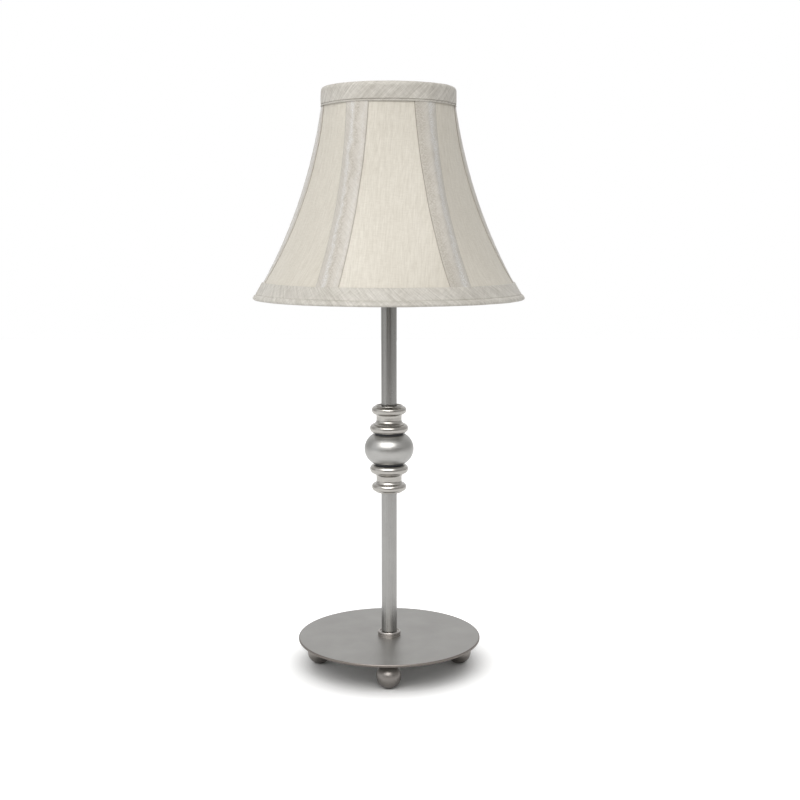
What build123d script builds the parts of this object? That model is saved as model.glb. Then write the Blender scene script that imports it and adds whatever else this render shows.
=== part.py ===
"""Candlestick table lamp: ball-footed disc base, turned metal stem, push-through
lampholder, candle bulb and a six-panel bell shade of stretched cloth.

All lengths are millimetres. +Z is up, the front is -Y, and the origin is on the
surface that the lamp stands on, under the stem's axis.
"""

from build123d import *
from math import atan2, cos, hypot, radians, sin, sqrt
import os

os.makedirs("parts", exist_ok=True)

# ------------------------------------------------------------- driving sizes
# Clearances
fit_gap = 0.05          # radial gap of a piece that turns or slides in another
seat_gap = 0.1          # gap between faces that turn on each other or lie close
free_gap = 0.3          # gap between curved faces that move past each other

# Base
plate_d = 150.0
plate_t = 2.0
plate_edge = 0.4        # bevel of the plate's rim
foot_d = 20.0
foot_flat = 0.3         # depth of the flat ground under each ball foot
foot_neck_d = 9.0
foot_height = 22.0      # from the floor to the plate's underside
foot_circle_r = 58.0
stud_d = 5.0            # weld stud that each ball foot is screwed on
stud_length = 9.0

# Threaded pipe that clamps the whole stem, and what holds it under the plate
pipe_d = 9.8
pipe_bore = 7.0
pipe_tail = 8.5         # length of pipe below the plate
pipe_head = 8.0         # length of pipe inside the lampholder's cap
washer_d = 25.0
washer_t = 1.0
lock_washer_d = 16.0
lock_washer_t = 1.0
lock_tooth = 1.2
lock_teeth = 8
nut_flats = 14.0
nut_t = 5.0
nut_chamfer = 0.6
bushing_bore = 5.4      # way through for the lead
bushing_flange_d = 11.0
bushing_flange_t = 1.6
bushing_spigot = 6.0

# Ferrule at the foot of the stem
ferrule_d = 18.8
ferrule_h = 4.0
ferrule_floor = 1.2     # solid part under the tube's end
ferrule_lip = 1.7       # width of the rounded lip around the groove
ferrule_groove = 1.1    # depth of the groove between the lip and the tube

# Stem tubes
tube_d = 12.7
tube_wall = 0.9
tube_socket = 4.0       # how far a tube sits inside a spool
lower_tube_l = 124.3
upper_tube_l = 104.9

# Turned spools, one each side of the ball; heights run from the ball outwards
spool_h = 22.7
flange_face_r = 11.6
flange_r = 15.65        # the bead next to the ball
flange_h = 6.9
flange_root_r = 13.7
fillet_ring_r = 12.7    # thin step between that bead and the waist
fillet_ring_h = 0.5
waist_r = 10.3
waist_start = 10.8
waist_end = 12.9
cove_end_r = 11.4
bead_start = 15.5
bead_root_r = 12.3      # the bead next to the tube
bead_r = 14.15
bead_end_r = 11.2
bead_end = 21.9
dish_rim_r = 9.6
dish_depth = 1.2        # hollow around the tube at the spool's end

# Ball between the spools
knop_r = 20.0
knop_flat_r = 13.1      # flats above and below, where the collars meet the ball
knop_h = 23.6
collar_r = 11.4
collar_h = 1.3

# Ring that centres the lampholder on the upper tube
seat_ring_d = 17.0
seat_ring_h = 3.0
seat_ring_spigot = 5.0
seat_ring_edge = 0.6

# Push-through lampholder
holder_r = 19.8
holder_wall = 1.5
cap_h = 20.0
cap_boss_r = 9.5
cap_boss_h = 3.0
cap_skirt_h = 6.0
cap_rim = 3.0
cap_floor = 6.0
body_h = 54.0
shoulder_r = 22.8
shoulder_t = 2.0
shoulder_height = 23.0  # top of the shoulder above the body's lower edge
insulator_h = 19.0
lead_hole_d = 3.4
lead_hole_r = 9.5       # radius at which the leads and terminals lie
sleeve_wall = 0.8
sleeve_h = 31.0
shell_inner_r = 13.45
shell_wall = 0.4
shell_h = 25.0
shell_window_r = 7.0    # hole in the shell's floor around the centre contact
tongue_width = 4.0
tongue_t = 0.5
tongue_rise = 3.0
tongue_foot = 4.0
tongue_pad = 2.6
terminal_d = 6.0
terminal_h = 2.2
terminal_slot = 0.9
bar_d = 5.0             # push bar of the switch
bar_height = 9.5        # the bar's axis above the body's lower edge
bar_travel = 8.0
bar_stub = 2.4          # what shows on the pushed-in side
bar_edge = 0.8

# Ring that clamps the shade on the lampholder
clamp_r = 26.6
clamp_h = 9.0
clamp_flange_h = 2.4
clamp_barrel_r = 24.6
grip_count = 16
grip_r = 1.6

# Candle bulb
bulb_cap_r = 13.1
bulb_cap_h = 21.0
bulb_cap_wall = 0.6
thread_turns = 4
thread_pitch = 3.62
thread_depth = 0.7
bulb_pip_r = 4.6
bulb_pip_h = 1.6
bulb_seal_r = 11.6
bulb_seal_h = 3.2
bulb_neck_r = 12.2
bulb_neck_h = 8.0       # neck of the glass inside the cap
bulb_r = 17.5
bulb_glass_h = 66.0
bulb_belly_h = 22.0     # height of the widest place above the cap
bulb_shoulder_r = 11.0
bulb_shoulder_h = 47.0
bulb_tip_r = 2.0
bulb_glass_wall = 0.8

# Shade
panel_count = 6
rib_turn = 3.0          # how far the front panel is turned to the right, degrees
shade_h = 165.0
fitter_drop = 103.9     # from the shade's top edge down to the fitter's underside
shade_top_r = 50.8      # outside of the cloth at the top edge
shade_mid_r = 69.5      # the same half way down
shade_bottom_r = 107.6
cloth_t = 0.6
panel_flat = 0.82       # how flat a panel is half way down: 0 round, 1 straight
flat_onset = 0.75       # how slowly it flattens away from the ring wires
frame_wire_d = 2.4
wire_sides = 8          # a wire is drawn with this many flats
weld_room = 0.8         # a rib stops this far from its ring wire, for the weld
arm_wire_d = 3.0
arm_count = 3
arm_start_r = 28.4
arm_foot = 5.0          # level stretch of an arm before it bends up
arm_bend_r = 6.0
fitter_inner_r = 20.3
fitter_outer_r = 30.0
fitter_t = 1.2
band_t = 0.6
band_fold = 4.2         # what is turned to the inside
band_stand = 0.25       # band above the panels' cloth
top_band_h = 14.0
bottom_band_h = 13.0
hem_room = 1.1          # slack of the hem around its wire
hem_bevel = 1.0         # rounding of the hem, drawn as a bevel
ring_room = 0.6         # ring wires behind the line of the ribs
strip_w = 19.6
strip_t = 0.5

# ---------------------------------------------------------- heights, in order
plate_z = foot_height
stem_z = plate_z + plate_t
lower_tube_z = stem_z + ferrule_floor
lower_spool_z = lower_tube_z + lower_tube_l - tube_socket
knop_z = lower_spool_z + spool_h + collar_h
upper_spool_z = knop_z + knop_h + collar_h
upper_tube_z = upper_spool_z + spool_h - tube_socket
upper_tube_top = upper_tube_z + upper_tube_l
cap_z = upper_tube_top + seat_ring_h
body_z = cap_z + cap_h
seat_z = body_z + shoulder_height
insulator_top = body_z + insulator_h
bar_z = body_z + bar_height
fitter_z = seat_z + seat_gap
clamp_z = fitter_z + fitter_t + seat_gap
shade_top = fitter_z + fitter_drop
shade_bottom = shade_top - shade_h
pipe_z = plate_z - pipe_tail
pipe_top = cap_z + pipe_head

pipe_r = pipe_d / 2
pipe_hole_r = pipe_r + fit_gap
tube_r = tube_d / 2
tube_hole_r = tube_r + fit_gap


def side_plane(height):
    """Plane through the axis: x to the right, y up from the given height."""
    return Plane(origin=(0, 0, height), x_dir=(1, 0, 0), z_dir=(0, -1, 0))


def upright_plane(angle, centre_r=0.0):
    """Upright plane turned by an angle: x away from the axis, y up."""
    across, along = cos(radians(angle)), sin(radians(angle))
    return Plane(
        origin=(centre_r * across, centre_r * along, 0),
        x_dir=(across, along, 0),
        z_dir=(along, -across, 0),
    )


def save(part, name):
    """Name a finished piece and write it."""
    part.label = name
    export_step(part, f"parts/{name}.step")


# ------------------------------------------------------------------------ base
with BuildPart() as base_plate:
    with BuildSketch(Plane.XY.offset(plate_z)):
        Circle(plate_d / 2)
        Circle(pipe_hole_r, mode=Mode.SUBTRACT)
    extrude(amount=plate_t)
    rim = base_plate.edges().filter_by(GeomType.CIRCLE).group_by(SortBy.RADIUS)[-1]
    chamfer(rim, plate_edge)
save(base_plate.part, "base_plate")

# Ball feet, each with a ground flat and a blind hole for its stud
foot_r = foot_d / 2
foot_centre = foot_r - foot_flat
foot_flat_r = sqrt(foot_r**2 - foot_centre**2)
foot_neck_r = foot_neck_d / 2
foot_neck_z = foot_centre + sqrt(foot_r**2 - foot_neck_r**2)
stud_r = stud_d / 2
foot_names = ["foot_right", "foot_back", "foot_left", "foot_front"]
foot_step = 360 / len(foot_names)
for index, foot_name in enumerate(foot_names):
    foot_plane = upright_plane(foot_step * index, foot_circle_r)
    with BuildPart() as foot:
        with BuildSketch(foot_plane):
            with BuildLine():
                Line((0, plate_z - stud_length), (0, 0))
                Line((0, 0), (foot_flat_r, 0))
                ThreePointArc((foot_flat_r, 0), (foot_r, foot_centre), (foot_neck_r, foot_neck_z))
                Line((foot_neck_r, foot_neck_z), (foot_neck_r, plate_z))
                Line((foot_neck_r, plate_z), (stud_r, plate_z))
                Line((stud_r, plate_z), (stud_r, plate_z - stud_length))
                Line((stud_r, plate_z - stud_length), (0, plate_z - stud_length))
            make_face()
        revolve(axis=Axis(foot_plane.origin, (0, 0, 1)))
    save(foot.part, foot_name)

with BuildPart() as foot_studs:
    with BuildSketch(Plane.XY.offset(plate_z)):
        with PolarLocations(foot_circle_r, len(foot_names)):
            Circle(stud_r)
    extrude(amount=-stud_length)
save(foot_studs.part, "foot_studs")

# ------------------------------------------- threaded pipe and its fixings
with BuildPart() as threaded_pipe:
    with BuildSketch(Plane.XY.offset(pipe_z)):
        Circle(pipe_r)
        Circle(pipe_bore / 2, mode=Mode.SUBTRACT)
    extrude(amount=pipe_top - pipe_z)
save(threaded_pipe.part, "threaded_pipe")

with BuildPart() as base_washer:
    with BuildSketch(Plane.XY.offset(plate_z)):
        Circle(washer_d / 2)
        Circle(pipe_hole_r, mode=Mode.SUBTRACT)
    extrude(amount=-washer_t)
save(base_washer.part, "base_washer")

lock_washer_z = plate_z - washer_t
with BuildPart() as lock_washer:
    with BuildSketch(Plane.XY.offset(lock_washer_z)):
        Circle(lock_washer_d / 2)
        with PolarLocations(lock_washer_d / 2, lock_teeth):
            Rectangle(lock_tooth, lock_tooth, mode=Mode.SUBTRACT)
        Circle(pipe_hole_r, mode=Mode.SUBTRACT)
    extrude(amount=-lock_washer_t)
save(lock_washer.part, "lock_washer")

nut_z = lock_washer_z - lock_washer_t
with BuildPart() as base_nut:
    with BuildSketch(Plane.XY.offset(nut_z)):
        RegularPolygon(nut_flats / 2, 6, major_radius=False)
    extrude(amount=-nut_t)
    with BuildSketch(Plane.XY.offset(nut_z)):
        Circle(nut_flats / 2 + nut_chamfer)
    extrude(amount=-nut_t, mode=Mode.INTERSECT)
    with BuildSketch(Plane.XY.offset(nut_z)):
        Circle(pipe_hole_r)
    extrude(amount=-nut_t, mode=Mode.SUBTRACT)
save(base_nut.part, "base_nut")

with BuildPart() as cord_bushing:
    with BuildSketch(Plane.XY.offset(pipe_z)):
        Circle(bushing_flange_d / 2)
    extrude(amount=-bushing_flange_t)
    chamfer(cord_bushing.edges().filter_by(GeomType.CIRCLE).sort_by(Axis.Z)[0], bushing_flange_t / 2)
    with BuildSketch(Plane.XY.offset(pipe_z)):
        Circle(pipe_bore / 2)
    extrude(amount=bushing_spigot)
    with BuildSketch(Plane.XY.offset(pipe_z - bushing_flange_t)):
        Circle(bushing_bore / 2)
    extrude(amount=bushing_flange_t + bushing_spigot, mode=Mode.SUBTRACT)
save(cord_bushing.part, "cord_bushing")

# ------------------------------------------------------------------------ stem
ferrule_r = ferrule_d / 2
with BuildPart() as stem_ferrule:
    with BuildSketch(side_plane(stem_z)):
        with BuildLine():
            Line((pipe_hole_r, 0), (ferrule_r, 0))
            Line((ferrule_r, 0), (ferrule_r, ferrule_h - ferrule_lip / 2))
            ThreePointArc(
                (ferrule_r, ferrule_h - ferrule_lip / 2),
                (ferrule_r - ferrule_lip / 2, ferrule_h),
                (ferrule_r - ferrule_lip, ferrule_h - ferrule_lip / 2),
            )
            Line(
                (ferrule_r - ferrule_lip, ferrule_h - ferrule_lip / 2),
                (tube_hole_r, ferrule_h - ferrule_groove),
            )
            Line((tube_hole_r, ferrule_h - ferrule_groove), (tube_hole_r, ferrule_floor))
            Line((tube_hole_r, ferrule_floor), (pipe_hole_r, ferrule_floor))
            Line((pipe_hole_r, ferrule_floor), (pipe_hole_r, 0))
        make_face()
    revolve(axis=Axis.Z)
save(stem_ferrule.part, "stem_ferrule")

tube_places = {"lower_tube": (lower_tube_z, lower_tube_l), "upper_tube": (upper_tube_z, upper_tube_l)}
for tube_name, (tube_z, tube_l) in tube_places.items():
    with BuildPart() as tube:
        with BuildSketch(Plane.XY.offset(tube_z)):
            Circle(tube_r)
            Circle(tube_r - tube_wall, mode=Mode.SUBTRACT)
        extrude(amount=tube_l)
    save(tube.part, tube_name)

# Upper spool: bead, thin step, coved waist, second bead and a dished end
with BuildPart() as upper_spool:
    with BuildSketch(side_plane(upper_spool_z)):
        with BuildLine():
            Line((pipe_hole_r, 0), (flange_face_r, 0))
            ThreePointArc(
                (flange_face_r, 0), (flange_r, flange_h * 0.52), (flange_root_r, flange_h)
            )
            Line((flange_root_r, flange_h), (fillet_ring_r, flange_h))
            Line((fillet_ring_r, flange_h), (fillet_ring_r, flange_h + fillet_ring_h))
            TangentArc(
                (waist_r, waist_start), (fillet_ring_r, flange_h + fillet_ring_h),
                tangent=(0, -1), tangent_from_first=True,
            )
            Line((waist_r, waist_start), (waist_r, waist_end))
            TangentArc((waist_r, waist_end), (cove_end_r, bead_start), tangent=(0, 1))
            Line((cove_end_r, bead_start), (bead_root_r, bead_start))
            ThreePointArc(
                (bead_root_r, bead_start),
                (bead_r, (bead_start + bead_end) / 2),
                (bead_end_r, bead_end),
            )
            ThreePointArc(
                (bead_end_r, bead_end),
                ((bead_end_r + dish_rim_r) / 2, spool_h),
                (dish_rim_r, bead_end),
            )
            Line((dish_rim_r, bead_end), (tube_hole_r, spool_h - dish_depth))
            Line((tube_hole_r, spool_h - dish_depth), (tube_hole_r, spool_h - tube_socket))
            Line((tube_hole_r, spool_h - tube_socket), (pipe_hole_r, spool_h - tube_socket))
            Line((pipe_hole_r, spool_h - tube_socket), (pipe_hole_r, 0))
        make_face()
    revolve(axis=Axis.Z)
save(upper_spool.part, "upper_spool")

# The lower spool is the same turning, the other way up
knop_middle = knop_z + knop_h / 2
with BuildPart() as lower_spool:
    mirror(upper_spool.part, about=Plane.XY.offset(knop_middle))
save(lower_spool.part, "lower_spool")

collar_places = {"lower_collar": knop_z - collar_h, "upper_collar": knop_z + knop_h}
for collar_name, collar_z in collar_places.items():
    with BuildPart() as collar:
        with BuildSketch(Plane.XY.offset(collar_z)):
            Circle(collar_r)
            Circle(pipe_hole_r, mode=Mode.SUBTRACT)
        extrude(amount=collar_h)
    save(collar.part, collar_name)

# Flattened ball, cut flat where the collars meet it
with BuildPart() as knop:
    with BuildSketch(side_plane(knop_middle)):
        with BuildLine():
            ThreePointArc((knop_flat_r, -knop_h / 2), (knop_r, 0), (knop_flat_r, knop_h / 2))
            Polyline(
                (knop_flat_r, knop_h / 2),
                (pipe_hole_r, knop_h / 2),
                (pipe_hole_r, -knop_h / 2),
                (knop_flat_r, -knop_h / 2),
            )
        make_face()
    revolve(axis=Axis.Z)
save(knop.part, "knop")

with BuildPart() as seat_ring:
    with BuildSketch(Plane.XY.offset(upper_tube_top)):
        Circle(seat_ring_d / 2)
    extrude(amount=seat_ring_h)
    outer_edges = seat_ring.edges().filter_by(GeomType.CIRCLE).group_by(SortBy.RADIUS)[-1]
    chamfer(outer_edges, seat_ring_edge)
    with BuildSketch(Plane.XY.offset(upper_tube_top)):
        Circle(tube_r - tube_wall - fit_gap)
    extrude(amount=-seat_ring_spigot)
    with BuildSketch(Plane.XY.offset(upper_tube_top - seat_ring_spigot)):
        Circle(pipe_hole_r)
    extrude(amount=seat_ring_h + seat_ring_spigot, mode=Mode.SUBTRACT)
save(seat_ring.part, "seat_ring")

# ----------------------------------------------------------------- lampholder
cap_inner_r = holder_r - cap_rim
with BuildPart() as holder_cap:
    with BuildSketch(side_plane(cap_z)):
        with BuildLine():
            Line((pipe_hole_r, 0), (cap_boss_r, 0))
            Line((cap_boss_r, 0), (cap_boss_r, cap_boss_h))
            TangentArc(
                (holder_r, cap_h - cap_skirt_h), (cap_boss_r, cap_boss_h),
                tangent=(0, -1), tangent_from_first=True,
            )
            Line((holder_r, cap_h - cap_skirt_h), (holder_r, cap_h))
            Line((holder_r, cap_h), (cap_inner_r, cap_h))
            Line((cap_inner_r, cap_h), (cap_inner_r, cap_h - cap_skirt_h))
            Line((cap_inner_r, cap_h - cap_skirt_h), (cap_boss_r, cap_floor))
            Line((cap_boss_r, cap_floor), (pipe_hole_r, cap_floor))
            Line((pipe_hole_r, cap_floor), (pipe_hole_r, 0))
        make_face()
    revolve(axis=Axis.Z)
save(holder_cap.part, "holder_cap")

body_inner_r = holder_r - holder_wall
bar_r = bar_d / 2
with BuildPart() as holder_body:
    with BuildSketch(Plane.XY.offset(body_z)):
        Circle(holder_r)
    extrude(amount=body_h)
    with BuildSketch(Plane.XY.offset(seat_z - shoulder_t)):
        Circle(shoulder_r)
    extrude(amount=shoulder_t)
    with BuildSketch(Plane.XY.offset(body_z)):
        Circle(body_inner_r)
    extrude(amount=body_h, mode=Mode.SUBTRACT)
    with BuildSketch(Plane.YZ):
        with Locations((0, bar_z)):
            Circle(bar_r + free_gap)
    extrude(amount=shoulder_r, both=True, mode=Mode.SUBTRACT)
save(holder_body.part, "holder_body")

insulator_r = body_inner_r - fit_gap
with BuildPart() as insulator:
    with BuildSketch(Plane.XY.offset(body_z)):
        Circle(insulator_r)
        with PolarLocations(lead_hole_r, 2, start_angle=90):
            Circle(lead_hole_d / 2, mode=Mode.SUBTRACT)
    extrude(amount=insulator_h)
    with BuildSketch(Plane.YZ):
        with Locations((0, bar_z)):
            Circle(bar_r + fit_gap)
    extrude(amount=holder_r, both=True, mode=Mode.SUBTRACT)
save(insulator.part, "insulator")

sleeve_r = body_inner_r - seat_gap
with BuildPart() as insulating_sleeve:
    with BuildSketch(Plane.XY.offset(insulator_top)):
        Circle(sleeve_r)
        Circle(sleeve_r - sleeve_wall, mode=Mode.SUBTRACT)
    extrude(amount=sleeve_h)
save(insulating_sleeve.part, "insulating_sleeve")

shell_r = shell_inner_r + shell_wall
with BuildPart() as screw_shell:
    with BuildSketch(side_plane(insulator_top)):
        with BuildLine():
            Polyline(
                (shell_window_r, 0),
                (shell_r, 0),
                (shell_r, shell_h),
                (shell_inner_r, shell_h),
                (shell_inner_r, shell_wall),
                (shell_window_r, shell_wall),
                close=True,
            )
        make_face()
    revolve(axis=Axis.Z)
save(screw_shell.part, "screw_shell")

# Springy brass tongue, riveted at one end, that meets the bulb's centre contact
with BuildPart() as centre_contact:
    with BuildSketch(side_plane(insulator_top)):
        with BuildLine():
            Polyline(
                (-tongue_foot - tongue_pad / 2, 0),
                (-tongue_pad / 2, 0),
                (tongue_t, tongue_rise - tongue_t),
                (tongue_pad, tongue_rise - tongue_t),
                (tongue_pad, tongue_rise),
                (0, tongue_rise),
                (-tongue_pad / 2 - tongue_t, tongue_t),
                (-tongue_foot - tongue_pad / 2, tongue_t),
                close=True,
            )
        make_face()
    extrude(amount=tongue_width / 2, both=True)
save(centre_contact.part, "centre_contact")

with BuildPart() as terminal_screws:
    with BuildSketch(Plane.XY.offset(body_z)):
        with PolarLocations(lead_hole_r, 2, start_angle=90):
            Circle(terminal_d / 2)
    extrude(amount=-terminal_h)
    with BuildSketch(Plane.XY.offset(body_z - terminal_h)):
        with PolarLocations(lead_hole_r, 2, start_angle=90):
            Rectangle(terminal_slot, terminal_d)
    extrude(amount=terminal_slot, mode=Mode.SUBTRACT)
save(terminal_screws.part, "terminal_screws")

# Switch bar, pushed in from the right at rest
bar_out = holder_r + bar_stub + bar_travel
bar_in = holder_r + bar_stub
with BuildPart() as push_bar:
    with BuildSketch(Plane.YZ.offset(-bar_in)):
        with Locations((0, bar_z)):
            Circle(bar_r)
    extrude(amount=bar_in + bar_out)
    chamfer(push_bar.edges().filter_by(GeomType.CIRCLE), bar_edge)
save(push_bar.part, "push_bar")

# Clamp ring, screwed down on the lampholder's outer thread
with BuildPart() as clamp_ring:
    with BuildSketch(Plane.XY.offset(clamp_z)):
        Circle(clamp_r)
    extrude(amount=clamp_flange_h)
    with BuildSketch(Plane.XY.offset(clamp_z + clamp_flange_h)):
        Circle(clamp_barrel_r)
        with PolarLocations(clamp_barrel_r + grip_r / 2, grip_count):
            Circle(grip_r, mode=Mode.SUBTRACT)
    extrude(amount=clamp_h - clamp_flange_h)
    with BuildSketch(Plane.XY.offset(clamp_z)):
        Circle(holder_r + fit_gap)
    extrude(amount=clamp_h, mode=Mode.SUBTRACT)
save(clamp_ring.part, "clamp_ring")

# ------------------------------------------------------------------------ bulb
bulb_z = insulator_top + tongue_rise + seat_gap
with BuildPart() as bulb_contact:
    with BuildSketch(Plane.XY.offset(bulb_z)):
        Circle(bulb_pip_r)
    extrude(amount=bulb_pip_h)
    chamfer(bulb_contact.edges().sort_by(Axis.Z)[0], bulb_pip_h / 2)
save(bulb_contact.part, "bulb_contact")

seal_z = bulb_z + bulb_pip_h
with BuildPart() as bulb_seal:
    with BuildSketch(Plane.XY.offset(seal_z)):
        Circle(bulb_pip_r)
    with BuildSketch(Plane.XY.offset(seal_z + bulb_seal_h)):
        Circle(bulb_seal_r)
    loft()
save(bulb_seal.part, "bulb_seal")

# Screw cap: thread ridges under a plain skirt, open where the glass enters
screw_cap_z = seal_z + bulb_seal_h
thread_h = thread_turns * thread_pitch
thread_root_r = bulb_cap_r - thread_depth
cap_bore_r = thread_root_r - bulb_cap_wall
with BuildPart() as bulb_cap:
    with BuildSketch(side_plane(screw_cap_z)):
        with BuildLine():
            Line((0, 0), (thread_root_r, 0))
            for turn in range(thread_turns):
                Polyline(
                    (thread_root_r, turn * thread_pitch),
                    (bulb_cap_r, (turn + 0.4) * thread_pitch),
                    (bulb_cap_r, (turn + 0.6) * thread_pitch),
                    (thread_root_r, (turn + 1) * thread_pitch),
                )
            Line((thread_root_r, thread_h), (bulb_cap_r, thread_h + thread_depth))
            Line((bulb_cap_r, thread_h + thread_depth), (bulb_cap_r, bulb_cap_h))
            Line((bulb_cap_r, bulb_cap_h), (cap_bore_r, bulb_cap_h))
            Line((cap_bore_r, bulb_cap_h), (cap_bore_r, bulb_cap_wall))
            Line((cap_bore_r, bulb_cap_wall), (0, bulb_cap_wall))
            Line((0, bulb_cap_wall), (0, 0))
        make_face()
    revolve(axis=Axis.Z)
save(bulb_cap.part, "bulb_cap")

# Candle-shaped glass: neck in the cap, belly, and a drawn-out tip
glass_z = screw_cap_z + bulb_cap_h
neck_r = min(bulb_neck_r, cap_bore_r - fit_gap)
with BuildPart() as bulb_glass:
    with BuildSketch(side_plane(glass_z)):
        with BuildLine():
            Line((0, -bulb_neck_h), (neck_r, -bulb_neck_h))
            Line((neck_r, -bulb_neck_h), (neck_r, 0))
            TangentArc(
                (bulb_r, bulb_belly_h), (neck_r, 0), tangent=(0, -1), tangent_from_first=True
            )
            belly = TangentArc((bulb_r, bulb_belly_h), (bulb_shoulder_r, bulb_shoulder_h), tangent=(0, 1))
            TangentArc(
                (bulb_shoulder_r, bulb_shoulder_h), (bulb_tip_r, bulb_glass_h), tangent=belly % 1
            )
            Line((bulb_tip_r, bulb_glass_h), (0, bulb_glass_h))
            Line((0, bulb_glass_h), (0, -bulb_neck_h))
        make_face()
    revolve(axis=Axis.Z)
    offset(amount=-bulb_glass_wall, openings=bulb_glass.faces().sort_by(Axis.Z)[0])
save(bulb_glass.part, "bulb_glass")

# ----------------------------------------------------------------- shade frame
# The cloth's outline at a rib is one arc through the three shade radii.
half_h = shade_h / 2
bell_x = (2 * shade_mid_r**2 - shade_top_r**2 - shade_bottom_r**2 - 2 * half_h**2) / (
    2 * (2 * shade_mid_r - shade_top_r - shade_bottom_r)
)
bell_y = (2 * bell_x * (shade_mid_r - shade_top_r) - shade_mid_r**2 + shade_top_r**2 + half_h**2) / (
    2 * half_h
)
bell_arc_r = hypot(shade_mid_r - bell_x, bell_y)
shade_middle = shade_top - half_h


def bell_r(height, depth=0.0):
    """Radius of the bell at a rib, the given depth behind the cloth's outside."""
    rise = height - shade_middle - bell_y
    return bell_x - sqrt((bell_arc_r + depth) ** 2 - rise**2)


wire_r = frame_wire_d / 2
arm_r = arm_wire_d / 2
rib_depth = cloth_t + wire_r / cos(radians(180 / panel_count)) + seat_gap
hem_wire = band_t + wire_r + hem_room
top_wire_z = shade_top - hem_wire
bottom_wire_z = shade_bottom + hem_wire
top_wire_r = bell_r(top_wire_z, rib_depth + ring_room)
bottom_wire_r = bell_r(bottom_wire_z, rib_depth + ring_room)

with BuildPart() as top_wire:
    with BuildSketch(side_plane(top_wire_z)):
        with Locations((top_wire_r, 0)):
            RegularPolygon(wire_r, wire_sides)
    revolve(axis=Axis.Z)
save(top_wire.part, "top_wire")

with BuildPart() as bottom_wire:
    with BuildSketch(side_plane(bottom_wire_z)):
        with Locations((bottom_wire_r, 0)):
            RegularPolygon(wire_r, wire_sides)
    revolve(axis=Axis.Z)
save(bottom_wire.part, "bottom_wire")

# Ribs, welded between the two ring wires
rib_step = 360 / panel_count
first_rib = rib_turn - 90 + rib_step / 2
rib_angles = [first_rib + rib_step * index for index in range(panel_count)]
rib_low = bottom_wire_z + wire_r + weld_room
rib_high = top_wire_z - wire_r - weld_room
rib_middle = (rib_low + rib_high) / 2
for index, rib_angle in enumerate(rib_angles):
    with BuildPart() as rib:
        with BuildLine(upright_plane(rib_angle)) as rib_path:
            ThreePointArc(
                (bell_r(rib_low, rib_depth), rib_low),
                (bell_r(rib_middle, rib_depth), rib_middle),
                (bell_r(rib_high, rib_depth), rib_high),
            )
        with BuildSketch(Plane(origin=rib_path.line @ 0, z_dir=rib_path.line % 0)):
            RegularPolygon(wire_r, wire_sides)
        sweep(path=rib_path.line)
    save(rib.part, f"shade_rib_{index + 1}")

# Fitter: flat ring that lies on the lampholder's shoulder, hung on three arms
with BuildPart() as fitter_ring:
    with BuildSketch(Plane.XY.offset(fitter_z)):
        Circle(fitter_outer_r)
        Circle(fitter_inner_r, mode=Mode.SUBTRACT)
    extrude(amount=fitter_t)
save(fitter_ring.part, "fitter_ring")

arm_z = fitter_z + fitter_t + arm_r
arm_top_r = top_wire_r - wire_r - arm_r - seat_gap
arm_top_z = top_wire_z + wire_r
arm_step = 360 / arm_count
arm_angles = [first_rib + arm_step * index for index in range(arm_count)]


def arm_line(plane):
    """Centre line of an arm: level on the fitter, then up to the top ring."""
    with BuildLine(plane, mode=Mode.PRIVATE) as path:
        FilletPolyline(
            (arm_start_r, arm_z),
            (arm_start_r + arm_foot + arm_bend_r, arm_z),
            (arm_top_r, arm_top_z),
            radius=arm_bend_r,
        )
    return path.line


for index, arm_angle in enumerate(arm_angles):
    arm_path = arm_line(upright_plane(arm_angle))
    with BuildPart() as arm:
        with BuildSketch(Plane(origin=arm_path @ 0, z_dir=arm_path % 0)):
            RegularPolygon(arm_r, wire_sides)
        sweep(path=arm_path)
    save(arm.part, f"fitter_arm_{index + 1}")

# ----------------------------------------------------------------- shade cloth
panel_low = bottom_wire_z
panel_high = top_wire_z
panel_shares = [0, 0.07, 0.25, 0.5, 0.75, 0.93, 1]
half_step = radians(rib_step / 2)


def panel_middle_share(height):
    """Radius half way between ribs, as a share of the radius at a rib."""
    share = (height - panel_low) / (panel_high - panel_low)
    flatness = panel_flat * (4 * share * (1 - share)) ** flat_onset
    return 1 - flatness * (1 - cos(half_step))


def polar(radius, angle):
    """Point at a radius and an angle in degrees."""
    return (radius * cos(radians(angle)), radius * sin(radians(angle)))


for index, rib_angle in enumerate(rib_angles):
    next_rib = rib_angle + rib_step
    middle = rib_angle + rib_step / 2
    with BuildPart() as panel:
        for share in panel_shares:
            height = panel_low + share * (panel_high - panel_low)
            outer = bell_r(height)
            inner = bell_r(height, cloth_t)
            drawn_in = panel_middle_share(height)
            with BuildSketch(Plane.XY.offset(height)):
                with BuildLine():
                    ThreePointArc(
                        polar(outer, rib_angle),
                        polar(outer * drawn_in, middle),
                        polar(outer, next_rib),
                    )
                    Line(polar(outer, next_rib), polar(inner, next_rib))
                    ThreePointArc(
                        polar(inner, next_rib),
                        polar(outer * drawn_in - (outer - inner), middle),
                        polar(inner, rib_angle),
                    )
                    Line(polar(inner, rib_angle), polar(outer, rib_angle))
                make_face()
        loft()
    save(panel.part, f"shade_panel_{index + 1}")

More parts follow.
